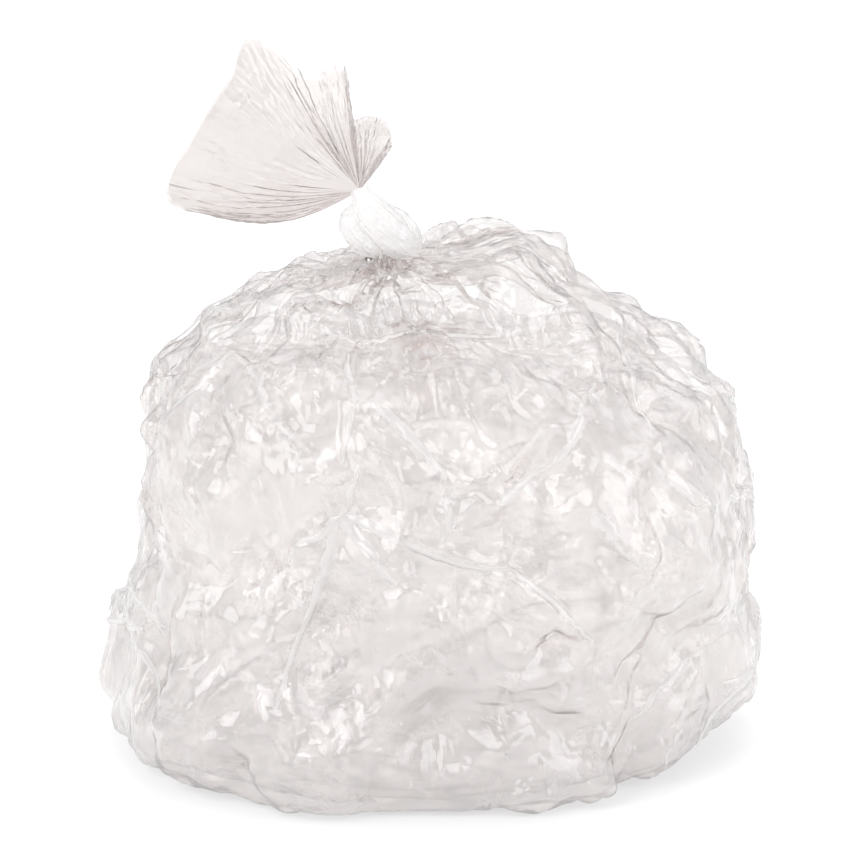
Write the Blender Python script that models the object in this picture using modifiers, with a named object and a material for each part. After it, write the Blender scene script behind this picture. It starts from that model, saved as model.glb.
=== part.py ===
"""Clear poly bag, filled with crumpled film and closed by an overhand knot in its own neck.

Z is up, the bag stands on the floor at z = 0 and its front faces -Y. All sizes are in metres.
The bag is one tube of film: flat base, bulging body, gathered shoulder, neck, knot, and the loose
tail above the knot, whose end is the open mouth. It is lofted as rings of points along that way.
"""

import math

import bmesh
import bpy
from mathutils import Vector, noise

# The filled body
BODY_WIDTH = 0.500
BODY_DEPTH = 0.436
BODY_HEIGHT = 0.390
BODY_SQUARENESS = 2.5  # 2 is an ellipse, and more is a box with rounder corners
RIGHT_CORNER_CUT = 0.13  # how much the lower front right corner draws in, as a share
LEFT_CORNER_CUT = 0.06
RIGHT_CORNER_AT = 310  # degrees anticlockwise from +X
LEFT_CORNER_AT = 230
CORNER_SHARPNESS = 5
FILM_THICKNESS = 0.0003

# Lumps, ridges and facets of the crumpled film: how far they stand proud, and how wide they are
LUMP_HEIGHT = 0.011
LUMP_WIDTH = 0.120
RIDGE_HEIGHT = 0.010
RIDGE_WIDTH = 0.075
FACET_HEIGHT = 0.012
FACET_WIDTH = 0.080
SMALL_FACET_HEIGHT = 0.012
SMALL_FACET_WIDTH = 0.046
FACET_MIX = 7.3  # scatters the facets' own heights, so that neighbours differ
RIDGE_LEVEL = 0.42  # what share of their height ridges stand above the smooth outline
RIDGE_STEEPNESS = 3
FOLD_WIDTH = 0.026
GATHER_HEIGHT = 0.0042
GATHER_COUNTS = (13, 21)  # gathers round the neck, in two overlapping waves
GATHER_DRIFT = 2.5  # how far the gathers wander sideways, in radians of their wave
GATHER_LEVEL = 9.0  # the level from which the gathers run up to the neck

# The neck and the knot
NECK_X = -0.030
NECK_RADIUS = 0.0066
NECK_HEIGHT = 0.366
STRAND_RADIUS = 0.0055
STRAND_CLEARANCE = 0.0012
STRAND_FOLD = 0.14  # how deep the folds along the gathered strand are, as a share of its radius
KNOT_SPREAD = 2.25  # the knot's mean radius, in strand spacings
KNOT_RISE = 0.029  # from the neck to the middle of the knot
KNOT_FORWARD = 0.006
KNOT_TURN = 192  # degrees, the side of the knot where both ends leave it
KNOT_FROM = 20  # degrees along the trefoil where the neck's end is cut open
KNOT_TO = 322  # and where the tail's end is
KNOT_STEPS = 25
KNOT_EXIT = (-2.9, -0.7, 4.0)  # where the tail leaves, from the knot's middle in strand spacings

# The tail above the knot
TAIL_LENGTH = 0.140
TAIL_PUFF = 0.018  # half the gap between the tail's front and back film
TAIL_SAG = 0.015  # how far the tail's lower edge hangs
TAIL_PLEAT = 0.0050
TAIL_PLEATS = 12
MOUTH_CRINKLE = 0.0055

# The crumpled film inside
FILL_CLEARANCE = 0.0025
FILL_SEAT = 0.0003  # between the bag's base and what lies on it
FILL_LEVEL = 10.3  # the level that the fill comes up to
FILL_CROWN = 0.010
FILL_LUMP = 0.008
FILL_DIP = 0.3  # how far in from its edge the fill's lumpy top is at its full depth

# How finely the film is divided
RING_POINTS = 72
STRAND_POINTS = 12
BODY_RINGS = 28
BASE_RINGS = 2
KNOT_RINGS = 38
TAIL_RINGS = 6
FILL_TOP_RINGS = 6

# The body's outline at one level after another, from the edge of the base to the foot of the neck:
# x and z on the left, x and z on the right, y in front, y behind. They are shares of half the
# width, of the height and of half the depth.
LEVELS = (
    (-0.80, 0.000, 0.80, 0.000, -0.86, 0.86),
    (-0.95, 0.030, 0.94, 0.035, -0.97, 0.96),
    (-1.00, 0.110, 0.99, 0.125, -1.00, 1.00),
    (-0.97, 0.205, 1.00, 0.245, -0.98, 1.00),
    (-0.91, 0.300, 1.00, 0.350, -0.96, 0.98),
    (-0.87, 0.410, 0.99, 0.450, -0.94, 0.96),
    (-0.84, 0.515, 0.97, 0.545, -0.92, 0.94),
    (-0.81, 0.620, 0.94, 0.630, -0.89, 0.92),
    (-0.79, 0.700, 0.88, 0.700, -0.84, 0.87),
    (-0.71, 0.755, 0.76, 0.750, -0.76, 0.79),
    (-0.61, 0.812, 0.62, 0.812, -0.66, 0.68),
    (-0.52, 0.867, 0.50, 0.880, -0.54, 0.55),
    (-0.41, 0.900, 0.40, 0.945, -0.42, 0.43),
    (-0.31, 0.915, 0.26, 0.970, -0.31, 0.31),
    (-0.23, 0.920, 0.10, 0.950, -0.21, 0.21),
    (-0.18, 0.925, -0.05, 0.930, -0.11, 0.12),
)

# The main folds on the front, each a straight ridge or valley: x and z of its two ends as shares
# of half the width and of the height, and how far it stands proud.
FOLDS = (
    ((-0.70, 0.82), (-0.46, 0.89), 0.008),
    ((-0.46, 0.89), (-0.20, 0.85), 0.007),
    ((-0.20, 0.85), (0.50, 0.86), 0.006),
    ((-0.18, 0.83), (-0.24, 0.68), 0.007),
    ((-0.57, 0.80), (-0.87, 0.52), 0.009),
    ((-0.57, 0.80), (-0.32, 0.64), 0.010),
    ((-0.25, 0.58), (-0.43, 0.32), 0.007),
    ((-0.25, 0.58), (-0.07, 0.46), 0.008),
    ((-0.10, 0.52), (0.48, 0.36), 0.007),
    ((0.20, 0.62), (0.36, 0.68), 0.009),
    ((0.60, 0.50), (0.44, 0.66), 0.009),
    ((0.98, 0.18), (0.66, 0.14), 0.006),
    ((0.66, 0.14), (0.50, 0.05), 0.006),
    ((-0.92, 0.30), (-0.66, 0.22), 0.006),
)

# The bump of film behind the right shoulder: its middle as shares of half the width, half the
# depth and the height, and its size
BUMP_AT = (0.66, 0.30, 0.80)
BUMP_WIDTH = 0.055
BUMP_HEIGHT = 0.016

# The tail's outline as a fan seen from the front: degrees anticlockwise from +X, how far the film
# reaches there as a share of the tail's length, and how far it leans back as a share of its reach
TAIL_FAN = (
    (188, 0.82, -0.04),
    (182, 0.98, -0.10),
    (173, 0.97, -0.16),
    (160, 0.90, -0.18),
    (138, 0.89, -0.14),
    (124, 0.97, -0.06),
    (117, 0.68, 0.02),
    (109, 0.62, 0.12),
    (99, 0.62, 0.22),
    (96, 0.36, 0.28),
    (84, 0.36, 0.32),
    (68, 0.35, 0.38),
    (52, 0.27, 0.42),
)


def spline(rows, at):
    """A row between the given rows, on a Catmull-Rom curve through them. at counts rows from 0."""
    i = min(int(at), len(rows) - 2)
    t = at - i
    last = len(rows) - 1
    before, here, after, beyond = (Vector(rows[max(0, min(last, i + k))]) for k in (-1, 0, 1, 2))
    return 0.5 * (
        2 * here
        + (after - before) * t
        + (2 * before - 5 * here + 4 * after - beyond) * t**2
        + (3 * here - before - 3 * after + beyond) * t**3
    )


def signed_power(value, exponent):
    return math.copysign(abs(value) ** exponent, value)


def smoothstep(low, high, value):
    t = max(0.0, min(1.0, (value - low) / (high - low)))
    return t * t * (3 - 2 * t)


def level_ring(at, shrink=1.0):
    """One closed ring of the body's smooth outline, at a level counted in LEVELS."""
    left, left_z, right, right_z, front, back = spline(LEVELS, at)
    low = smoothstep(6, 1, at)
    ring = []
    for j in range(RING_POINTS):
        angle = 2 * math.pi * j / RING_POINTS
        right_corner = max(0, math.cos(angle - math.radians(RIGHT_CORNER_AT))) ** CORNER_SHARPNESS
        left_corner = max(0, math.cos(angle - math.radians(LEFT_CORNER_AT))) ** CORNER_SHARPNESS
        drawn_in = low * (RIGHT_CORNER_CUT * right_corner + LEFT_CORNER_CUT * left_corner)
        size = shrink * (1 - drawn_in)
        across = signed_power(math.cos(angle), 2 / BODY_SQUARENESS) * size
        along = signed_power(math.sin(angle), 2 / BODY_SQUARENESS) * size
        x = (left + right + across * (right - left)) / 2
        y = (front + back + along * (back - front)) / 2
        z = left_z + (right_z - left_z) * (across + 1) / 2
        ring.append(Vector((x * BODY_WIDTH / 2, y * BODY_DEPTH / 2, z * BODY_HEIGHT)))
    return ring


def ridges(point, width):
    """Crumpled film: highest along sharp ridges, and falling away to hollows on both sides."""
    first = abs(noise.noise(point / width))
    second = abs(noise.noise(point / width + Vector((17, 5, 9))))
    return RIDGE_LEVEL - RIDGE_STEEPNESS * min(first, second)


def facets(point, width):
    """Crumpled film: cells with straight creases round them, each a shallow tent or dent."""
    near, places = noise.voronoi(point / width)
    return (near[1] - near[0]) * (2 * noise.cell(places[0] * FACET_MIX) - 1)


def fold_height(point):
    """How far the main folds lift the front film at this point."""
    if point.y > 0:
        return 0.0
    here = Vector((point.x, point.z))
    lift = 0.0
    for start, end, height in FOLDS:
        a, b = (Vector((x * BODY_WIDTH / 2, z * BODY_HEIGHT)) for x, z in (start, end))
        along = max(0.0, min(1.0, (here - a).dot(b - a) / (b - a).length_squared))
        away = (here - a - along * (b - a)).length
        lift = max(lift, height * (1 - away / FOLD_WIDTH))
    return lift


def bump_height(point):
    x, y, z = BUMP_AT
    middle = Vector((x * BODY_WIDTH / 2, y * BODY_DEPTH / 2, z * BODY_HEIGHT))
    return BUMP_HEIGHT * smoothstep(BUMP_WIDTH, 0, (point - middle).length)


def film_height(point, level, angle):
    """How far the crumpled film stands out from the body's smooth outline."""
    top = len(LEVELS) - 1
    fade = smoothstep(0, 1.5, level) * smoothstep(top, top - 3, level)
    height = LUMP_HEIGHT * noise.noise(point / LUMP_WIDTH)
    height += RIDGE_HEIGHT * ridges(point, RIDGE_WIDTH)
    height += FACET_HEIGHT * facets(point, FACET_WIDTH)
    height += SMALL_FACET_HEIGHT * facets(point, SMALL_FACET_WIDTH)
    height += fold_height(point) + bump_height(point)
    gathered = smoothstep(GATHER_LEVEL, top - 2, level)
    drift = GATHER_DRIFT * noise.noise(point / LUMP_WIDTH)
    pleat = sum(math.cos(count * angle + count + drift) for count in GATHER_COUNTS)
    return fade * height + gathered * GATHER_HEIGHT * pleat


def body_rings():
    """The crumpled body, ring by ring, with the way out of the film at each point."""
    top = len(LEVELS) - 1
    levels = [top * i / (BODY_RINGS - 1) for i in range(BODY_RINGS)]
    smooth = [level_ring(level) for level in levels]
    rings = []
    for i, level in enumerate(levels):
        ring = []
        for j, point in enumerate(smooth[i]):
            along = smooth[i][(j + 1) % RING_POINTS] - smooth[i][j - 1]
            up = smooth[min(i + 1, BODY_RINGS - 1)][j] - smooth[max(i - 1, 0)][j]
            out = along.cross(up).normalized()
            angle = 2 * math.pi * j / RING_POINTS
            place = point + film_height(point, level, angle) * out
            place.z = max(place.z, 0.0)
            ring.append((place, out, level))
        rings.append(ring)
    return rings


def knot_way():
    """The middle of the strand from the neck, round the overhand knot, to where the tail begins.

    Inside the knot the strand follows a trefoil that is cut open on one side: one cut end runs
    down into the neck, and the other up into the tail.
    """
    spacing = STRAND_RADIUS + STRAND_CLEARANCE / 2
    middle = Vector((NECK_X, -KNOT_FORWARD, NECK_HEIGHT + KNOT_RISE))
    start, end = math.radians(KNOT_FROM), math.radians(KNOT_TO)
    way = [Vector((NECK_X, 0, NECK_HEIGHT))]
    way.append(way[0] + Vector((-spacing, 0, spacing)))
    for i in range(KNOT_STEPS + 1):
        t = start + (end - start) * i / KNOT_STEPS
        out = spacing * (KNOT_SPREAD + math.cos(3 * t))
        angle = math.radians(KNOT_TURN) + 2 * t
        across = Vector((math.cos(angle), 0, math.sin(angle)))
        way.append(middle + out * across + Vector((0, spacing * math.sin(3 * t), 0)))
    way.append(middle + spacing * Vector(KNOT_EXIT))
    return way


def frames_along(points):
    """At each point of a way: two directions across it that turn as little as they can."""
    side = Vector((1, 0, 0))
    frames = []
    for i in range(len(points)):
        ahead = (points[min(i + 1, len(points) - 1)] - points[max(i - 1, 0)]).normalized()
        side = (side - side.dot(ahead) * ahead).normalized()
        frames.append((side, ahead.cross(side)))
    return frames


def strand_rings():
    """Rings of the gathered film along the knot, each a small star of folds."""
    rows = knot_way()
    way = [spline(rows, (len(rows) - 1) * i / KNOT_RINGS) for i in range(KNOT_RINGS + 1)]
    rings = []
    for i, (centre, (side, other)) in enumerate(zip(way, frames_along(way))):
        radius = NECK_RADIUS + (STRAND_RADIUS - NECK_RADIUS) * min(1, i / 4)
        ring = []
        for j in range(STRAND_POINTS):
            angle = 2 * math.pi * j / STRAND_POINTS
            fold = radius * (1 - STRAND_FOLD * (j % 2))
            ring.append(centre + fold * (math.cos(angle) * side + math.sin(angle) * other))
        rings.append(ring)
    return rings, way[-1]


def tail_rings(root):
    """The loose end of the tube, opening from the knot into a pleated fan that lies almost flat."""
    half = RING_POINTS // 2
    rings = []
    for i in range(1, TAIL_RINGS + 1):
        share = i / TAIL_RINGS
        ring = []
        for j in range(RING_POINTS):
            behind = j >= half
            step = (RING_POINTS - j if behind else j) / half
            degrees, reach, lean = spline(TAIL_FAN, (1 - step) * (len(TAIL_FAN) - 1))
            angle = math.radians(degrees)
            out = Vector((math.cos(angle), lean, math.sin(angle))) * reach * TAIL_LENGTH * share
            puff = TAIL_PUFF * math.sin(math.pi * step) ** 0.6 * smoothstep(0, 0.7, share)
            pleat = TAIL_PLEAT * math.sin(2 * math.pi * TAIL_PLEATS * j / RING_POINTS)
            crinkle = MOUTH_CRINKLE * share * noise.noise(Vector((j * 0.9, i * 1.3, 5)))
            depth = puff + pleat * math.sin(math.pi * share) + crinkle
            sag = TAIL_SAG * math.sin(math.pi * share) * step**2
            place = root + out + Vector((0, depth if behind else -depth, -sag))
            ring.append(place)
        rings.append(ring)
    return rings


def bridge(mesh, lower, upper):
    """Join two closed rings of vertices; one may have a whole number of times the other's count."""
    most = max(len(lower), len(upper))
    for j in range(most):
        corners = [
            lower[j * len(lower) // most],
            lower[(j + 1) * len(lower) // most % len(lower)],
            upper[(j + 1) * len(upper) // most % len(upper)],
            upper[j * len(upper) // most],
        ]
        face = [v for k, v in enumerate(corners) if v is not corners[k - 1]]
        mesh.faces.new(face)


def add_ring(mesh, points):
    return [mesh.verts.new(point) for point in points]


def close_disc(mesh, ring, rows):
    """Close a ring with smaller rings, each given as points, round one middle point."""
    for row in rows[:-1]:
        inner = add_ring(mesh, row)
        bridge(mesh, inner, ring)
        ring = inner
    middle = mesh.verts.new(rows[-1])
    for j, corner in enumerate(ring):
        mesh.faces.new((corner, middle, ring[(j + 1) % len(ring)]))


def base_rows(z):
    """Smaller and smaller rings of the flat base, at height z, and its middle."""
    rows = []
    for i in range(BASE_RINGS, 0, -1):
        ring = level_ring(0, i / (BASE_RINGS + 1))
        rows.append([Vector((p.x, p.y, z)) for p in ring])
    rows.append(Vector((0, 0, z)))
    return rows


def make_object(name, mesh, material, collection):
    data = bpy.data.meshes.new(name)
    bmesh.ops.recalc_face_normals(mesh, faces=mesh.faces)
    mesh.to_mesh(data)
    mesh.free()
    data.materials.append(material)
    data.shade_smooth()
    data.set_sharp_from_angle(angle=math.radians(30))
    thing = bpy.data.objects.new(name, data)
    collection.objects.link(thing)
    return thing


def film_material(name, colour, roughness, alpha):
    material = bpy.data.materials.new(name)
    material.use_nodes = True
    shader = material.node_tree.nodes["Principled BSDF"]
    shader.inputs["Base Color"].default_value = (*colour, 1)
    shader.inputs["Roughness"].default_value = roughness
    shader.inputs["Alpha"].default_value = alpha
    return material


def make_bag(body, material, collection):
    """The whole liner: base, body, neck, knot and tail as one open sheet, given its thickness."""
    mesh = bmesh.new()
    rings = [add_ring(mesh, [place for place, _, _ in ring]) for ring in body]
    close_disc(mesh, rings[0], base_rows(0))
    strand, root = strand_rings()
    for ring in strand + tail_rings(root):
        rings.append(add_ring(mesh, ring))
    for lower, upper in zip(rings, rings[1:]):
        bridge(mesh, lower, upper)
    bag = make_object("bag", mesh, material, collection)
    wall = bag.modifiers.new("Film", "SOLIDIFY")
    wall.thickness = FILM_THICKNESS
    wall.offset = -1
    return bag


def make_fill(body, material, collection):
    """The crumpled film inside: it follows the bag's inside up to its own lumpy top."""
    gap = FILM_THICKNESS + FILL_CLEARANCE
    seat = FILM_THICKNESS + FILL_SEAT
    mesh = bmesh.new()
    rings = []
    for ring in body:
        if ring[0][2] > FILL_LEVEL:
            break
        points = [place - gap * out for place, out, _ in ring]
        for point in points:
            point.z = max(point.z, seat)
        rings.append(points)
    top = rings[-1]
    middle = sum(top, Vector()) / len(top)
    middle.z += FILL_CROWN
    rows = []
    for i in range(1, FILL_TOP_RINGS):
        share = i / FILL_TOP_RINGS
        row = []
        for point in top:
            place = point.lerp(middle, share)
            dip = smoothstep(0, FILL_DIP, share)
            place.z -= FILL_LUMP * (1 + noise.noise(place / RIDGE_WIDTH)) * dip
            row.append(place)
        rows.append(row)
    rows.append(middle)
    loops = [add_ring(mesh, points) for points in rings]
    for lower, upper in zip(loops, loops[1:]):
        bridge(mesh, lower, upper)
    close_disc(mesh, loops[0], base_rows(seat))
    close_disc(mesh, loops[-1], rows)
    return make_object("fill", mesh, material, collection)


def build():
    for thing in list(bpy.data.objects):
        bpy.data.objects.remove(thing, do_unlink=True)
    parts = bpy.data.collections.new("clear_poly_bag")
    bpy.context.scene.collection.children.link(parts)
    film = film_material("clear_polyethylene_film", (0.80, 0.78, 0.77), 0.22, 0.35)
    crumple = film_material("crumpled_polyethylene_film", (0.78, 0.75, 0.74), 0.30, 0.55)
    body = body_rings()
    make_bag(body, film, parts)
    make_fill(body, crumple, parts)


build()
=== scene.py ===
"""The looks of the clear poly bag: thin natural polyethylene film over loose crumpled film.

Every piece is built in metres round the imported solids. The film of the body is read off the bag's
solid, given the folds that the filling and the knot pull into it, and then let buckle as a sheet
that is a little longer than the form it lies on.
"""
import math

import bpy
import numpy as np
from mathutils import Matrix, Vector, geometry, noise
from mathutils.bvhtree import BVHTree


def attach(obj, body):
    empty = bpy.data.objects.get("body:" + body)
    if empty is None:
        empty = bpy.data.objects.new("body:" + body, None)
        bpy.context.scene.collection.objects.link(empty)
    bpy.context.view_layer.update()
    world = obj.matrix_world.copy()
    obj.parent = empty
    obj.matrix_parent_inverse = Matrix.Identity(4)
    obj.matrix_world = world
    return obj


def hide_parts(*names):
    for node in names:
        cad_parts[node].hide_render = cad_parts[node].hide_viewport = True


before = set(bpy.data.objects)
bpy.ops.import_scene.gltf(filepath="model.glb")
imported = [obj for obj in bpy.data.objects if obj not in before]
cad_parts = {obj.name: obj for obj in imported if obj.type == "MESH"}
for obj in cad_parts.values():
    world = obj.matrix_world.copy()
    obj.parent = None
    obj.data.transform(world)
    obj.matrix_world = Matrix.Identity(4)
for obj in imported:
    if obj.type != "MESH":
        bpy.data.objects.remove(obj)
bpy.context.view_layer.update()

# The photograph's camera: degrees above the floor, metres away, and metres seen across the frame
CAMERA_RISE = 14.5
CAMERA_AWAY = 2.8
CAMERA_SEES = 0.633
CAMERA_AIM = Vector((0, 0, 0.24))

# The film of the body as a grid: points round it, and points from the neck to the middle of the base
BODY_AROUND = 400
BODY_ALONG = 218
BODY_MIDDLE = Vector((-0.010, 0, 0.19))
NECK = (-0.030, 0.0, 0.374)
NECK_RADIUS = 0.0075
NECK_ROWS = 16
NECK_LEAN = 0.115  # aims the first ring of the grid at the neck
NECK_DEGREES = 6
TUBE_GIRTH = 1.524  # twice the liner's flat width of 762 mm

# The strips where the film is folded over on itself: points along one, and across it
STRIP_ROWS = 18
STRIP_POINTS = 5

# Folds that the photograph shows on the front: x and height of both ends, height and width, in mm
FRONT_FOLDS = (
    ((-170, 326), (-118, 345), 5, 9),
    ((-118, 345), (-46, 330), 5, 8),
    ((-46, 330), (45, 335), 4, 8),
    ((45, 335), (122, 333), 4, 8),
    ((-50, 325), (-58, 262), 7, 8),
    ((-137, 312), (-185, 262), 7, 10),
    ((-137, 312), (-213, 200), 7, 11),
    ((-137, 312), (-80, 250), 9, 12),
    ((-60, 226), (-93, 190), 6, 9),
    ((-60, 226), (-104, 85), 6, 11),
    ((-60, 226), (-20, 178), 8, 13),
    ((-60, 226), (-46, 262), 5, 8),
    ((-60, 226), (56, 182), 6, 10),
    ((56, 182), (118, 131), 8, 9),
    ((50, 235), (88, 258), 6, 10),
    ((88, 258), (120, 300), 5, 9),
    ((116, 228), (152, 186), 8, 13),
    ((170, 244), (205, 210), 6, 10),
    ((241, 112), (190, 95), 5, 9),
    ((190, 95), (150, 60), 5, 9),
    ((-224, 115), (-190, 70), 5, 10),
    ((-225, 130), (-186, 118), 5, 10),
    ((-35, 300), (20, 250), 5, 9),
    ((20, 250), (10, 205), 5, 9),
    ((140, 320), (160, 270), 5, 9),
)

# The crumpled film inside
FILL_MIDDLE = Vector((0, 0, 0.15))
FILL_AROUND = 260
FILL_ALONG = 150

# The tail above the knot: where it starts, its length along the fan, half its thickness, and its fan
# as degrees anticlockwise from +X, reach as a share of the length, and lean back as a share of it
TAIL_ROOT = (-0.0473, -0.0103, 0.4196)
TAIL_LENGTH = 0.140
TAIL_PUFF = 0.018
TAIL_SAG = 0.015
TAIL_AROUND = 400
TAIL_ALONG = 110
TAIL_FAN = (
    (188, 0.82, -0.04),
    (182, 0.98, -0.10),
    (173, 0.97, -0.16),
    (160, 0.90, -0.18),
    (138, 0.89, -0.14),
    (124, 0.97, -0.06),
    (117, 0.68, 0.02),
    (109, 0.62, 0.12),
    (99, 0.62, 0.22),
    (96, 0.36, 0.28),
    (84, 0.36, 0.32),
    (68, 0.35, 0.38),
    (52, 0.27, 0.42),
)

FILM_INDEX = 1.54  # the refractive index of polyethylene
DOUBLE_MIRROR_LIMIT = 0.6  # the most that a film's two faces mirror together, seen edge-on

# What the film mirrors: the way to each soft box, and its strength
SOFT_BOXES = (
    ((-0.565, -0.6, 0.565), 3.0),
    ((0.813, -0.471, 0.342), 2.4),
    ((0.085, 0.341, 0.936), 0.8),
)

# The knot: x, y and z along the middle of the gathered strand, and its radius there, all in mm. It
# bulges to the left, passes behind and comes back over the front as one fat wrap.
KNOT_ROUTE = (
    (-31, 0, 364, 9),
    (-37, -2, 371, 9),
    (-46, -4, 380, 8),
    (-54, -7, 388, 8.5),
    (-56, -3, 397, 8.5),
    (-49, 4, 401, 8),
    (-40, 9, 400, 8),
    (-26, 10, 397, 9),
    (-16, 6, 390, 9),
    (-12, -3, 382, 10),
    (-15, -11, 378, 12),
    (-22, -14, 384, 13.5),
    (-30, -15, 394, 13.5),
    (-38, -14, 404, 12),
    (-45, -12, 413, 9),
    (-48, -10.3, 421, 6),
)
KNOT_ROWS = 260
KNOT_AROUND = 150


def smoothstep(low, high, value):
    t = np.clip((value - low) / (high - low), 0, 1)
    return t * t * (3 - 2 * t)


def cad_tree(name):
    """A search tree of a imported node's surface."""
    return BVHTree.FromObject(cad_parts[name], bpy.context.evaluated_depsgraph_get())


def body_grid(tree):
    """Points on the bag's solid, from round the neck down to the middle of the base."""
    grid = np.zeros((BODY_ALONG, BODY_AROUND, 3))
    first = math.radians(NECK_DEGREES)
    for i in range(BODY_ALONG):
        polar = first + (math.pi - first) * i / (BODY_ALONG - 1)
        rise = math.cos(polar)
        for j in range(BODY_AROUND):
            angle = 2 * math.pi * j / BODY_AROUND
            x = math.sin(polar) * math.cos(angle) - NECK_LEAN * max(0, rise) ** 2
            way = Vector((x, math.sin(polar) * math.sin(angle), rise)).normalized()
            grid[i, j] = tree.ray_cast(BODY_MIDDLE, way)[0]
    return grid


def neck_rows(ring):
    """Rings from the neck, where the film enters the knot, out to the grid's first ring."""
    angles = np.arctan2(ring[:, 1] - NECK[1], ring[:, 0] - NECK[0])
    throat = np.stack([NECK[0] + NECK_RADIUS * np.cos(angles), NECK[1] + NECK_RADIUS * np.sin(angles),
                       np.full(len(ring), NECK[2])], -1)
    shares = np.linspace(0, 1, NECK_ROWS, endpoint=False)[:, None, None]
    rows = throat + (ring - throat) * shares
    rows[..., 2] = NECK[2] + (ring[:, 2] - NECK[2]) * (1 - (1 - shares[..., 0]) ** 2)
    return rows


def relaxed(grid, times):
    """The grid with its sharp facets smoothed away, its first and last rings kept."""
    for _ in range(times):
        across = (np.roll(grid, 1, 1) + np.roll(grid, -1, 1)) / 2
        down = grid.copy()
        down[1:-1] = (grid[2:] + grid[:-2]) / 2
        new = 0.5 * grid + 0.25 * across + 0.25 * down
        new[0], new[-1] = grid[0], grid[-1]
        grid = new
    return grid


def unit(vectors):
    return vectors / np.maximum(np.linalg.norm(vectors, axis=-1, keepdims=True), 1e-9)


def grid_normals(grid):
    """Outward directions of a grid whose rings run anticlockwise and whose rows run down."""
    around = np.roll(grid, -1, 1) - np.roll(grid, 1, 1)
    down = np.gradient(grid, axis=0)
    return unit(np.cross(down, around))


def noise_grid(grid, width, shift=0.0):
    """Smooth noise of the given width, in metres, at every point of the grid."""
    flat = (grid.reshape(-1, 3) / width + shift).tolist()
    return np.array([noise.noise(point) for point in flat]).reshape(grid.shape[:2])


def crumple(grid, width, seed, stretch=1.0):
    """Crumpled film, from -1 to 1: flat triangles of about this width that meet in straight creases.

    Their corners are scattered over the grid laid out flat, and stretch draws them out lengthwise.
    """
    rng = np.random.default_rng(seed)
    rows, columns = grid.shape[:2]
    around = np.linalg.norm(neighbours(grid, 0, 1), axis=-1).sum(1).max()
    along = np.concatenate([[0], np.cumsum(np.linalg.norm(np.diff(grid, axis=0), axis=-1).mean(1))])
    across, down = round(around / width), round(along[-1] / (width * stretch)) + 2
    u, v = np.meshgrid(np.arange(across), np.arange(-1, down))
    u = (u + rng.uniform(-0.45, 0.45, u.shape)) * around / across
    v = (v + rng.uniform(-0.45, 0.45, v.shape)) * width * stretch
    height = rng.uniform(-1, 1, u.shape)
    turns = [np.stack([u + turn * around, v, height], -1).reshape(-1, 3) for turn in (-1, 0, 1)]
    corners = np.concatenate(turns)
    corners = corners[(corners[:, 0] > -2 * width) & (corners[:, 0] < around + 2 * width)]
    flat = [Vector(corner[:2]) for corner in corners]
    places, _, triangles, origins, _, _ = geometry.delaunay_2d_cdt(flat, [], [], 0, 1e-6)
    points = [(*place, corners[origin[0]][2]) for place, origin in zip(places, origins)]
    tree = BVHTree.FromPolygons(points, triangles)
    below = Vector((0, 0, -1))
    result = np.zeros((rows, columns))
    for i in range(rows):
        for j in range(columns):
            hit = tree.ray_cast(Vector((around * j / columns, along[i], 2)), below)[0]
            result[i, j] = hit.z if hit else 0
    return result


def distance_to(grid, start, end):
    """How far every point of the grid is from a straight stretch, and where along it that is."""
    start, end = np.array(start), np.array(end)
    way = end - start
    along = np.clip(((grid - start) @ way) / (way @ way), 0, 1)
    return np.linalg.norm(grid - start - along[..., None] * way, axis=-1), along


def neighbours(grid, rows, columns):
    """From each point to the one so many rows down and columns on."""
    other = np.roll(grid, -columns, 1)
    return other[rows:] - grid[:-rows] if rows else other - grid


EDGES = ((0, 1), (1, 0), (1, 1), (1, -1))


def rest_lengths(grid, pull, slack_across, slack_along):
    """Each edge's own length in the film: a share more than the grid's, across the pull and along it."""
    lengths = []
    for rows, columns in EDGES:
        edge = neighbours(grid, rows, columns)
        way = pull[:-rows] if rows else pull
        more = slack_across[:-rows] if rows else slack_across
        with_pull = (edge * way).sum(-1)
        rest = edge - with_pull[..., None] * way
        lengths.append(np.sqrt((with_pull * (1 + slack_along)) ** 2 + ((rest**2).sum(-1)) * (1 + more) ** 2))
    return lengths


def buckled(grid, lengths, start, held, steps, bend, hold, inward, outward):
    """The film with its own lengths, laid on the grid's form: it folds where it is too long.

    bend is how much it resists sharp folds, hold how hard it is drawn back to the form, and inward
    and outward how far, in metres, it may leave the form.
    """
    normals = grid_normals(grid)
    count = np.zeros(grid.shape[:2] + (1,))
    for rows, columns in EDGES:
        if rows:
            count[:-rows] += 1
            count[rows:] += 1
        else:
            count += 2
    film = start.copy()
    speed = np.zeros_like(film)
    for _ in range(steps):
        before = film
        film = film + 0.92 * speed
        for _ in range(2):
            move = np.zeros_like(film)
            for (rows, columns), length in zip(EDGES, lengths):
                edge = neighbours(film, rows, columns)
                now = np.linalg.norm(edge, axis=-1)
                share = (edge * (0.5 * (1 - length / np.maximum(now, 1e-9)))[..., None])
                if rows:
                    move[:-rows] += share
                    move[rows:] -= np.roll(share, columns, 1)
                else:
                    move += share - np.roll(share, columns, 1)
            film = film + move * (1.6 / count)
        film = film + bend * ((np.roll(film, 1, 1) + np.roll(film, -1, 1)) / 2 - film)
        film[1:-1] += bend * ((film[2:] + film[:-2]) / 2 - film[1:-1])
        away = ((film - grid) * normals).sum(-1)
        kept = np.clip(away, -inward, outward) * (1 - hold)
        film = film + normals * (kept - away)[..., None]
        film[held] = start[held]
        speed = film - before
    return film


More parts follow.
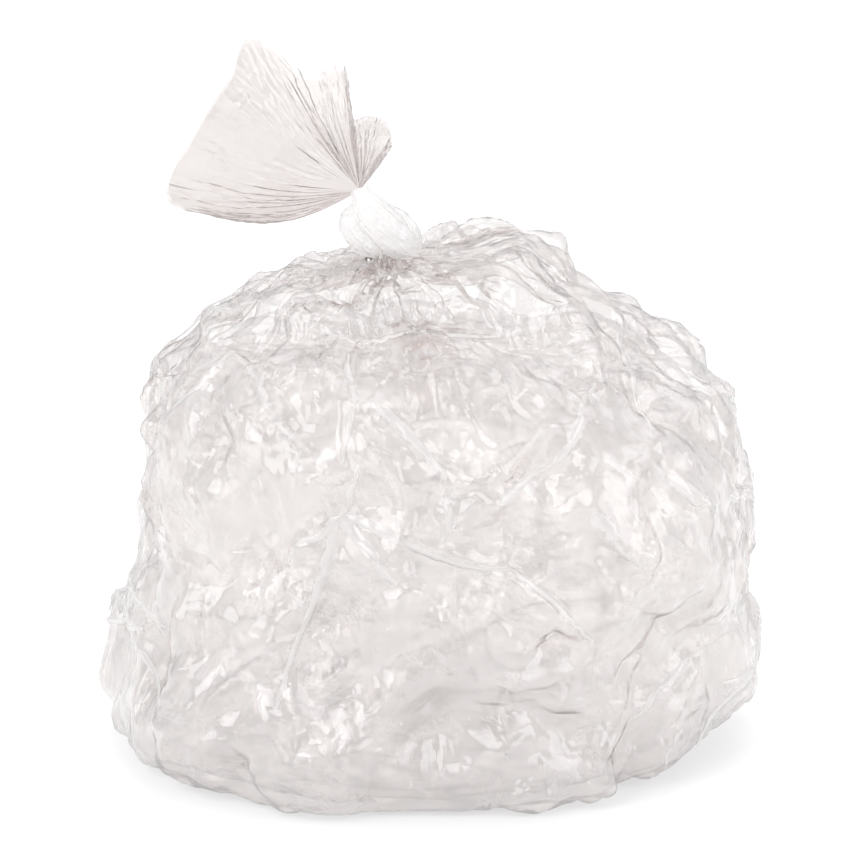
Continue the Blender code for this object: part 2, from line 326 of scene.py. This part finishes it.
def grid_mesh(name, *grids, strips=()):
    """A mesh piece from one or more grids whose rings close on themselves, and strips that don't."""
    points, faces = [], []
    for grid in (*grids, *strips):
        rows, columns = grid.shape[:2]
        j = np.arange(columns if columns > STRIP_POINTS else columns - 1)
        i = np.arange(rows - 1)[:, None]
        a = len(points) + i * columns + j
        b = len(points) + i * columns + (j + 1) % columns
        faces += np.stack([a, a + columns, b + columns, b], -1).reshape(-1, 4).tolist()
        points += grid.reshape(-1, 3).tolist()
    mesh = bpy.data.meshes.new(name)
    mesh.from_pydata(points, [], faces)
    mesh.validate()
    mesh.shade_smooth()
    piece = bpy.data.objects.new(name, mesh)
    bpy.context.scene.collection.objects.link(piece)
    return piece


def random_folds(rng, count):
    """Star-shaped groups of folds for the sides and the back, like those on the front."""
    folds = []
    for _ in range(count):
        angle = rng.uniform(math.radians(-15), math.radians(195))
        height = rng.uniform(0.05, 0.30)
        arms = rng.integers(3, 6)
        turn = rng.uniform(0, 2 * math.pi)
        for arm in range(arms):
            way = turn + 2 * math.pi * arm / arms + rng.uniform(-0.4, 0.4)
            reach = rng.uniform(0.04, 0.13)
            folds.append((angle, height, way, reach, rng.uniform(0.004, 0.008), rng.uniform(0.008, 0.013)))
    return folds


def on_body(tree, x, z, toward=-1):
    """The point of the bag's solid that is seen from the front at this x and height."""
    hit = tree.ray_cast(Vector((x, toward, z)), Vector((0, -toward, 0)))[0]
    return np.array(hit) if hit else np.array((x, 0, z))


def pleats(grid, share):
    """Gathers that run to the neck, uneven in width, as deep as their share of the room there is."""
    turn = 2 * math.pi * np.arange(grid.shape[1]) / grid.shape[1]
    drift = 1.6 * noise_grid(grid, 0.09, 3)
    reach = np.linalg.norm(grid[..., :2] - np.array(NECK[:2]), axis=-1)
    wave = sum(np.cos(k * turn + k + drift * (1 + k / 30)) for k in (17, 26, 41)) / 3
    return np.minimum(0.006, 0.09 * reach) * share * wave


def folded_strips(film, folds):
    """Narrow strips where the film is folded over and lies flat on itself, tapered to both ends."""
    rows, columns = film.shape[:2]
    index = np.arange(rows * columns).reshape(rows, columns)
    beside = np.roll(index, -1, 1)
    quads = np.stack([index[:-1], index[1:], beside[1:], beside[:-1]], -1).reshape(-1, 4)
    tree = BVHTree.FromPolygons(film.reshape(-1, 3).tolist(), quads.tolist())
    share = np.linspace(0, 1, STRIP_ROWS)
    across = np.linspace(-1, 1, STRIP_POINTS)
    strips = []
    for start, end, _, width in folds:
        hits = [tree.find_nearest(Vector(point)) for point in start + share[:, None] * (end - start)]
        middle = np.array([hit[0] for hit in hits])
        out = np.array([hit[1] for hit in hits])
        for _ in range(2):
            middle[1:-1] = (middle[:-2] + middle[2:]) / 2
            out[1:-1] = (out[:-2] + out[2:]) / 2
        out = unit(out)
        side = unit(np.cross(np.gradient(middle, axis=0), out))
        half = (0.42 * width * (1 - 0.75 * share) * smoothstep(0, 0.12, share) + 0.0003)[:, None, None]
        rise = (0.0012 + 0.0012 * (1 - across**4))[None, :, None]
        strips.append(middle[:, None] + half * across[:, None] * side[:, None] + rise * out[:, None])
    return strips


def body_film(tree):
    """The bulging body: folds first, and then the film's own buckling between them."""
    rng = np.random.default_rng(11)
    raw = body_grid(tree)
    raw = np.concatenate([neck_rows(raw[0]), raw])
    form = relaxed(raw, 5)
    normals = grid_normals(form)
    flat = smoothstep(0.001, 0.012, raw[..., 2])
    # the pull in the film: up to the neck on the shoulder, along the folds elsewhere
    neck = form[0].mean(0)
    pull = unit(neck - form)
    weight = 0.02 + 3 * smoothstep(0.27, 0.36, form[..., 2])
    pull *= weight[..., None]
    lift = np.zeros(form.shape[:2])
    folds = []
    for (x0, z0), (x1, z1), height, width in FRONT_FOLDS:
        start = on_body(tree, x0 / 1000, z0 / 1000)
        end = on_body(tree, x1 / 1000, z1 / 1000)
        folds.append((start, end, height / 1000, width / 1000))
    for angle, height, way, reach, proud, width in random_folds(rng, 16):
        out = Vector((math.cos(angle), math.sin(angle), 0))
        side = Vector((-math.sin(angle), math.cos(angle), 0))
        start = tree.ray_cast(Vector((0, 0, height)), out)[0]
        far = start + reach * (math.cos(way) * side + math.sin(way) * Vector((0, 0, 1)))
        end = tree.find_nearest(far)[0]
        folds.append((np.array(start), np.array(end), proud, width))
    for start, end, height, width in folds:
        away, along = distance_to(form, start, end)
        crest = 0.6 * height * np.clip(1.4 * (1 - away / width), 0, 1) * np.clip(5 * (1 - along), 0, 1)
        lift = np.maximum(lift, crest)
        near = np.exp(-(away / 0.035) ** 2)
        way = unit(end - start)
        sign = np.sign((pull * way).sum(-1, keepdims=True))
        pull += (0.9 * near)[..., None] * way * np.where(sign == 0, 1, sign)
    pull = unit(pull)
    form = form + normals * (lift * flat)[..., None]
    girth = np.linalg.norm(neighbours(form, 0, 1), axis=-1).sum(1)
    slack = 0.4 * np.clip(TUBE_GIRTH / girth - 1, 0.01, 0.10)[:, None] * np.ones(form.shape[:2])
    seed = 0.009 * crumple(form, 0.075, 2) + 0.008 * crumple(form, 0.036, 5)
    seed += 0.0022 * crumple(form, 0.017, 9) * smoothstep(-0.15, 0.2, noise_grid(form, 0.09, 12))
    low = smoothstep(0.30, 0.12, form[..., 2])
    seed += (0.001 + 0.004 * low) * noise_grid(form * np.array((1, 1, 0.2)), 0.030, 6)
    seed += pleats(form, smoothstep(0.29, 0.37, form[..., 2]))
    held = flat <= 0
    held[:2] = True
    start = form + normals * (seed * flat)[..., None]
    start[held] = form[held]
    lengths = rest_lengths(start, pull, slack, 0.005)
    sharp = 0.0032 * crumple(form, 0.052, 31, 1.6) + 0.0014 * crumple(form, 0.026, 32, 1.8)
    # a painted highlight: each crease of the body gets more haze, which draws a light line along it
    turned = np.abs(sharp - (np.roll(sharp, 1, 1) + np.roll(sharp, -1, 1)) / 2)
    turned[1:-1] += np.abs(sharp[1:-1] - (sharp[2:] + sharp[:-2]) / 2)
    layers_and_crease_highlight = 0.35 * smoothstep(0.0001, 0.0010, turned) * flat
    film = buckled(form, lengths, start, held, steps=60, bend=0.001, hold=0.002, inward=0.014, outward=0.016)
    sharp *= flat * smoothstep(0.02, 0.08, np.linalg.norm(form - np.array(NECK), axis=-1))
    return film + normals * sharp[..., None], layers_and_crease_highlight, folds


def fill_film(tree, seed, deep):
    """The film inside, crumpled into facets that stand as much as deep times 12 mm off the solid's form."""
    points, lines = FILL_AROUND, FILL_ALONG
    grid = np.zeros((lines, points, 3))
    for i in range(lines):
        polar = math.pi * (i + 0.5) / lines
        for j in range(points):
            angle = 2 * math.pi * j / points
            flat = math.sin(polar)
            way = Vector((flat * math.cos(angle), flat * math.sin(angle), math.cos(polar)))
            grid[i, j] = tree.ray_cast(FILL_MIDDLE, way)[0]
    middle = np.array(FILL_MIDDLE)
    grid = relaxed(grid, 6)
    normals = grid_normals(grid)
    depth = deep * (0.010 + 0.008 * crumple(grid, 0.095, seed) + 0.005 * crumple(grid, 0.050, seed + 1))
    depth += 0.004 * crumple(grid, 0.026, seed + 2) + 0.0018 * crumple(grid, 0.013, seed + 3)
    depth = np.clip(depth, 0.0005, 0.08)
    return grid - normals * (depth * smoothstep(-0.001, 0.010, grid[..., 2] + 0.001))[..., None]


def knot_way():
    """The middle of the gathered strand at even steps, and its radius at each."""
    route = np.array(KNOT_ROUTE) / 1000
    gone = np.concatenate([[0], np.cumsum(np.linalg.norm(np.diff(route[:, :3], axis=0), axis=1))])
    even = np.linspace(0, gone[-1], KNOT_ROWS)
    way = np.stack([np.interp(even, gone, route[:, k]) for k in range(4)], -1)
    for _ in range(90):
        way[1:-1] = 0.5 * way[1:-1] + 0.25 * (way[2:] + way[:-2])
    return way[:, :3], way[:, 3]


def knot_film():
    """The gathered tube tied in an overhand knot: a strand of lengthwise folds that twist a little."""
    way, fat = knot_way()
    ahead = unit(np.gradient(way, axis=0))
    side = np.zeros_like(way)
    last = np.array((1.0, 0, 0))
    for i, step in enumerate(ahead):
        last = unit(last - (last @ step) * step)
        side[i] = last
    other = np.cross(ahead, side)
    share = np.linspace(0, 1, KNOT_ROWS)[:, None]
    turn = 2 * math.pi * np.arange(KNOT_AROUND) / KNOT_AROUND
    twisted = turn + 2.2 * share
    rng = np.random.default_rng(5)
    folds = np.zeros((KNOT_ROWS, KNOT_AROUND))
    for count in (5, 9, 15, 25, 41):
        drift = rng.uniform(0, 6) + 1.2 * np.sin(2 * math.pi * (share * rng.uniform(1, 3) + rng.uniform()))
        folds += (0.9 / count**0.6) * (1 - np.abs(np.sin(count * twisted / 2 + drift)) * 1.6)
    radius = fat[:, None] * (1 + 0.13 * folds)
    ring = np.cos(turn)[..., None] * side[:, None] + np.sin(turn)[..., None] * other[:, None]
    grid = way[:, None] + radius[..., None] * ring
    fine = 0.0010 * noise_grid(grid, 0.008, 4) + 0.0005 * noise_grid(grid, 0.003, 8)
    return grid + ring * fine[..., None]


def tail_point(step, share):
    """A point of the tail's fan: step from 0 on its right edge to 1 on its left, share from root to mouth."""
    degrees, reach, lean = fan_row((1 - step) * (len(TAIL_FAN) - 1))
    angle = np.radians(degrees)
    out = np.stack([np.cos(angle), lean, np.sin(angle)], -1) * (reach * TAIL_LENGTH * share)[..., None]
    out[..., 2] -= TAIL_SAG * np.sin(math.pi * share) * step**2
    return np.array(TAIL_ROOT) + out


def fan_row(at):
    """A row of TAIL_FAN at a place between its rows, on a smooth curve through them."""
    rows = np.array(TAIL_FAN, float)
    i = np.minimum(at.astype(int), len(rows) - 2)
    t = (at - i)[..., None]
    last = len(rows) - 1
    before, here, after, beyond = (rows[np.clip(i + k, 0, last)] for k in (-1, 0, 1, 2))
    row = 0.5 * (2 * here + (after - before) * t + (2 * before - 5 * here + 4 * after - beyond) * t**2
                 + (3 * here - before - 3 * after + beyond) * t**3)
    return row[..., 0], row[..., 1], row[..., 2]


def tail_film():
    """The loose end of the tube: a two-sided fan of fine pleats, crinkled towards its open mouth."""
    turn = np.arange(TAIL_AROUND) / TAIL_AROUND
    share = np.linspace(0.02, 1, TAIL_ALONG)[:, None] * np.ones(TAIL_AROUND)
    behind = (turn >= 0.5) * np.ones((TAIL_ALONG, 1))
    step = np.where(behind > 0, 2 * (1 - turn), 2 * turn) * np.ones((TAIL_ALONG, 1))
    form = tail_point(step, share)
    side = np.where(behind > 0, 1, -1)
    form[..., 1] += side * TAIL_PUFF * np.sin(math.pi * step) ** 0.6 * smoothstep(0, 0.7, share)
    normals = grid_normals(form)
    pull = unit(form - np.array(TAIL_ROOT))
    wave = np.zeros_like(share)
    drift = 1.3 * noise_grid(form, 0.05, 9)
    for count, part in ((12, 0.4), (19, 0.3), (31, 0.25), (53, 0.15)):
        wave += part * np.cos(2 * math.pi * count * turn + count + drift)
    deep = np.minimum(0.0050, 0.10 * share * TAIL_LENGTH)
    mouth = smoothstep(0.45, 0.85, share)
    seed = deep * wave + 0.0016 * crumple(form, 0.022, 2, 1.6) * share
    seed = seed + 0.0014 * mouth * crumple(form, 0.009, 4)
    start = form + normals * seed[..., None]
    held = share < 0.03
    slack = 0.03 * np.ones(form.shape[:2])
    lengths = rest_lengths(start, pull, slack, 0.005)
    return buckled(form, lengths, start, held, steps=90, bend=0.008, hold=0.006, inward=0.008, outward=0.008)


def linear(code):
    """An sRGB hex colour as linear red, green, blue and an alpha of 1."""
    parts = [int(code[i : i + 2], 16) / 255 for i in (1, 3, 5)]
    return [c / 12.92 if c <= 0.04045 else ((c + 0.055) / 1.055) ** 2.4 for c in parts] + [1]


def add(tree, kind, settings=None, **links):
    """Add a node with its settings, and link sockets given by name to its inputs."""
    node = tree.nodes.new(kind)
    for key, value in (settings or {}).items():
        if isinstance(key, str) and hasattr(node, key):
            setattr(node, key, value)
        else:
            node.inputs[key].default_value = value
    for key, socket in links.items():
        tree.links.new(socket, node.inputs[int(key[1:]) if key[1:].isdigit() else key])
    return node


def tilted_facets(tree, place, scale, slope):
    """The height, in metres, of flat facets that each tilt their own way, scale of them to a metre."""
    cell = add(tree, "ShaderNodeTexVoronoi", {"Scale": scale}, Vector=place)
    off = add(tree, "ShaderNodeVectorMath", {"operation": "SUBTRACT"}, _0=place,
              _1=cell.outputs["Position"])
    tilt = add(tree, "ShaderNodeVectorMath", {"operation": "SUBTRACT", 1: (0.5, 0.5, 0.5)},
               _0=cell.outputs["Color"])
    rise = add(tree, "ShaderNodeVectorMath", {"operation": "DOT_PRODUCT"}, _0=off.outputs[0],
               _1=tilt.outputs[0])
    return add(tree, "ShaderNodeMath", {"operation": "MULTIPLY", 1: slope},
               _0=rise.outputs["Value"]).outputs[0]


def film_material(name, haze, tint, milk, shadow, roughness, crinkle):
    """Blown polyethylene film: it lets most light straight through, mirrors more as it turns away,
    and scatters a little, so that several layers together go milky."""
    material = bpy.data.materials.new(name)
    material.use_nodes = True
    tree = material.node_tree
    tree.nodes.clear()
    place = add(tree, "ShaderNodeTexCoord").outputs["Object"]
    warp = add(tree, "ShaderNodeTexNoise", {"Scale": 25, "Detail": 0}, Vector=place)
    drawn = add(tree, "ShaderNodeVectorMath", {"operation": "MULTIPLY_ADD", 1: (0.02, 0.02, 0.03)},
                _0=warp.outputs["Color"], _2=place)
    small = tilted_facets(tree, drawn.outputs[0], 90, crinkle)
    # the smallest facets come in patches, where the film was crushed
    crushed = add(tree, "ShaderNodeMapRange", {"From Min": 0.46, "From Max": 0.58},
                  Value=warp.outputs["Fac"])
    heights = add(tree, "ShaderNodeMath", {"operation": "MULTIPLY"}, _0=small, _1=crushed.outputs[0])
    bump = add(tree, "ShaderNodeBump", {"Strength": 1, "Distance": 1}, Height=heights.outputs[0])
    clear = add(tree, "ShaderNodeBsdfTransparent", {"Color": linear(tint)})
    milky = add(tree, "ShaderNodeBsdfDiffuse", {"Color": linear(milk)}, Normal=bump.outputs[0])
    glow = add(tree, "ShaderNodeBsdfTranslucent", {"Color": linear(milk)}, Normal=bump.outputs[0])
    scatter = add(tree, "ShaderNodeMixShader", {"Fac": 0.5}, _1=milky.outputs[0], _2=glow.outputs[0])
    # three layers scatter where the film is folded over on itself, and the body's creases get more haze as a
    # painted highlight
    layers_and_crease_highlight = add(tree, "ShaderNodeAttribute", {"attribute_name": "layers_and_crease_highlight"})
    share = add(tree, "ShaderNodeMath", {"operation": "MULTIPLY_ADD", 1: 1.2 * haze, 2: haze},
                _0=layers_and_crease_highlight.outputs["Fac"])
    body = add(tree, "ShaderNodeMixShader", None, Fac=share.outputs[0], _1=clear.outputs[0],
               _2=scatter.outputs[0])
    shine = add(tree, "ShaderNodeBsdfGlossy", {"Roughness": roughness}, Normal=bump.outputs[0])
    inside = add(tree, "ShaderNodeNewGeometry").outputs["Backfacing"]
    # a film is as thin from behind as from the front, so its back has the same mirror as its face
    index = add(tree, "ShaderNodeMath",
                {"operation": "MULTIPLY_ADD", 1: 1 / FILM_INDEX - FILM_INDEX, 2: FILM_INDEX}, _0=inside)
    mirror = add(tree, "ShaderNodeFresnel", None, IOR=index.outputs[0])
    faces = add(tree, "ShaderNodeMath", {"operation": "MULTIPLY", 1: 2}, _0=mirror.outputs[0])
    soft = add(tree, "ShaderNodeMath", {"operation": "MINIMUM", 1: DOUBLE_MIRROR_LIMIT},
               _0=faces.outputs[0])
    seen = add(tree, "ShaderNodeMixShader", None, Fac=soft.outputs[0], _1=body.outputs[0],
               _2=shine.outputs[0])
    path = add(tree, "ShaderNodeLightPath")
    mirrored = add(tree, "ShaderNodeMix", {"data_type": "RGBA", 6: linear(shadow), 7: linear(tint)},
                   _0=path.outputs["Is Glossy Ray"])
    shade = add(tree, "ShaderNodeBsdfTransparent", None, Color=mirrored.outputs[2])
    whole = add(tree, "ShaderNodeMixShader", None, Fac=path.outputs["Is Camera Ray"], _1=shade.outputs[0],
                _2=seen.outputs[0])
    add(tree, "ShaderNodeOutputMaterial", None, Surface=whole.outputs[0])
    return material


def set_camera():
    camera = bpy.data.cameras.new("camera")
    camera.sensor_width = 36
    camera.lens = camera.sensor_width * CAMERA_AWAY / CAMERA_SEES
    holder = bpy.data.objects.new("camera", camera)
    bpy.context.scene.collection.objects.link(holder)
    rise = math.radians(CAMERA_RISE)
    holder.location = CAMERA_AIM + CAMERA_AWAY * Vector((0, -math.cos(rise), math.sin(rise)))
    holder.rotation_euler = (CAMERA_AIM - holder.location).to_track_quat("-Z", "Y").to_euler()
    bpy.context.scene.camera = holder


def set_light(name, place, size, watts, aim=Vector((0, 0, 0.2))):
    lamp = bpy.data.lights.new(name, "AREA")
    lamp.shape = "RECTANGLE"
    lamp.size, lamp.size_y = size
    lamp.energy = watts
    holder = bpy.data.objects.new(name, lamp)
    bpy.context.scene.collection.objects.link(holder)
    holder.location = place
    holder.rotation_euler = (aim - holder.location).to_track_quat("-Z", "Y").to_euler()
    holder.visible_glossy = False


def set_stage():
    """A white floor that runs out of sight and glows with painted light away from the bag, the room that the
    film mirrors, and soft lamps.
    """
    mesh = bpy.data.meshes.new("floor")
    half = 12
    corners = [(-half, -half, 0), (half, -half, 0), (half, half, 0), (-half, half, 0)]
    mesh.from_pydata(corners, [], [(0, 1, 2, 3)])
    floor = bpy.data.objects.new("floor", mesh)
    bpy.context.scene.collection.objects.link(floor)
    floor.location.z = -0.0005
    material = bpy.data.materials.new("paper_sweep_with_painted_light")
    material.use_nodes = True
    tree = material.node_tree
    tree.nodes.clear()
    path = add(tree, "ShaderNodeLightPath")
    seen = add(tree, "ShaderNodeMath", {"operation": "MAXIMUM"}, _0=path.outputs["Is Camera Ray"],
               _1=path.outputs["Is Glossy Ray"])
    seen = add(tree, "ShaderNodeMath", {"operation": "MAXIMUM"}, _0=seen.outputs[0],
               _1=path.outputs["Is Transmission Ray"])
    paper = add(tree, "ShaderNodeBsdfDiffuse", {"Color": linear("#dedede")})
    # painted light for camera, mirror and transmission rays: none within 0.14 m of the middle, more with
    # distance, so the floor is white far off and keeps a painted shade round the bag
    place = add(tree, "ShaderNodeTexCoord").outputs["Object"]
    away = add(tree, "ShaderNodeVectorMath", {"operation": "LENGTH"}, _0=place)
    near = add(tree, "ShaderNodeMapRange", {"From Min": 0.14, "From Max": 0.30, "To Max": 0.34},
               Value=away.outputs["Value"])
    far = add(tree, "ShaderNodeMapRange", {"From Min": 0.4, "From Max": 3.4, "To Max": 0.32},
              Value=away.outputs["Value"])
    whole = add(tree, "ShaderNodeMath", {"operation": "ADD"}, _0=near.outputs[0], _1=far.outputs[0])
    lift = add(tree, "ShaderNodeMath", {"operation": "MULTIPLY"}, _0=seen.outputs[0], _1=whole.outputs[0])
    glow = add(tree, "ShaderNodeEmission", {"Color": linear("#ffffff")}, Strength=lift.outputs[0])
    both = add(tree, "ShaderNodeAddShader", None, _0=paper.outputs[0], _1=glow.outputs[0])
    add(tree, "ShaderNodeOutputMaterial", None, Surface=both.outputs[0])
    mesh.materials.append(material)
    world = bpy.data.worlds.new("room")
    bpy.context.scene.world = world
    world.use_nodes = True
    background = world.node_tree.nodes["Background"]
    background.inputs["Color"].default_value = linear("#f0f0f2")
    # the film mirrors a white wall behind, a dimmer room in front and three soft boxes
    tree = world.node_tree
    way = add(tree, "ShaderNodeTexCoord").outputs["Generated"]
    depth = add(tree, "ShaderNodeSeparateXYZ", None, Vector=way).outputs["Y"]
    room = add(tree, "ShaderNodeMapRange",
               {"From Min": -0.3, "From Max": 0.5, "To Min": 0.5, "To Max": 1.05}, Value=depth).outputs[0]
    for box, strength in SOFT_BOXES:
        toward = add(tree, "ShaderNodeVectorMath", {"operation": "DOT_PRODUCT", 1: box}, _0=way)
        patch = add(tree, "ShaderNodeMapRange", {"From Min": 0.87, "From Max": 0.91, "To Max": strength},
                    Value=toward.outputs["Value"])
        room = add(tree, "ShaderNodeMath", {"operation": "ADD"}, _0=room, _1=patch.outputs[0]).outputs[0]
    path = add(tree, "ShaderNodeLightPath")
    plain = add(tree, "ShaderNodeMath", {"operation": "MULTIPLY_ADD", 1: 0.5, 2: 0.55},
                _0=path.outputs["Is Camera Ray"])
    strength = add(tree, "ShaderNodeMix", None, Factor=path.outputs["Is Glossy Ray"], _2=plain.outputs[0],
                   _3=room)
    tree.links.new(strength.outputs[0], background.inputs["Strength"])
    set_light("key_lamp", Vector((-1.6, -1.7, 1.8)), (1.8, 1.5), 60)
    set_light("side_lamp", Vector((1.9, -1.1, 1.0)), (0.9, 1.5), 28)
    set_light("top_lamp", Vector((0.2, 0.8, 2.4)), (2.0, 1.2), 28)


def main():
    bpy.context.scene.view_settings.view_transform = "Standard"
    cycles = bpy.context.scene.cycles
    cycles.transparent_max_bounces = 32
    cycles.max_bounces = 3
    set_camera()
    set_stage()
    tree = cad_tree("bag")
    # one layer: clear, with a slight haze and sharp lights on its facets
    outer = film_material("natural_polyethylene_film", haze=0.26, tint="#faf8f7", milk="#fffefd",
                          shadow="#ebeaea", roughness=0.17, crinkle=0.55)
    # many layers drawn together: milky white
    gathered = film_material("gathered_polyethylene_film", haze=0.85, tint="#f8f6f5", milk="#fffefd",
                             shadow="#fafafa", roughness=0.24, crinkle=0.3)
    # the loose end, a little darker and warmer than the body
    loose = film_material("loose_polyethylene_film", haze=0.24, tint="#eee9e7", milk="#fdfcfb",
                          shadow="#f6f5f5", roughness=0.20, crinkle=0.3)
    film, layers_and_crease_highlight, folds = body_film(tree)
    strips = folded_strips(film, folds)
    body = grid_mesh("body_film", film, strips=strips)
    # the body's creases carry their painted highlight here, the folded strips their three layers
    layers = np.concatenate([layers_and_crease_highlight.ravel(), np.ones(len(strips) * STRIP_ROWS * STRIP_POINTS)])
    body.data.attributes.new("layers_and_crease_highlight", "FLOAT", "POINT").data.foreach_set("value", layers)
    body.data.materials.append(outer)
    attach(body, "root")
    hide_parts("bag")
    for name, film, look in (("knot_film", knot_film(), gathered), ("tail_film", tail_film(), loose)):
        piece = grid_mesh(name, film)
        piece.data.materials.append(look)
        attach(piece, "root")
        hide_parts("bag")
    # the crumpled film inside, clear enough for its many layers to stay pale
    inner = film_material("crumpled_polyethylene_film", haze=0.26, tint="#fdfbfa", milk="#fffefd",
                          shadow="#fafafa", roughness=0.20, crinkle=0.5)
    within = cad_tree("fill")
    layer = grid_mesh("crumpled_film", fill_film(within, 3, 1.0), fill_film(within, 71, 3.2))
    layer.data.materials.append(inner)
    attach(layer, "root")
    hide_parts("fill")


main()
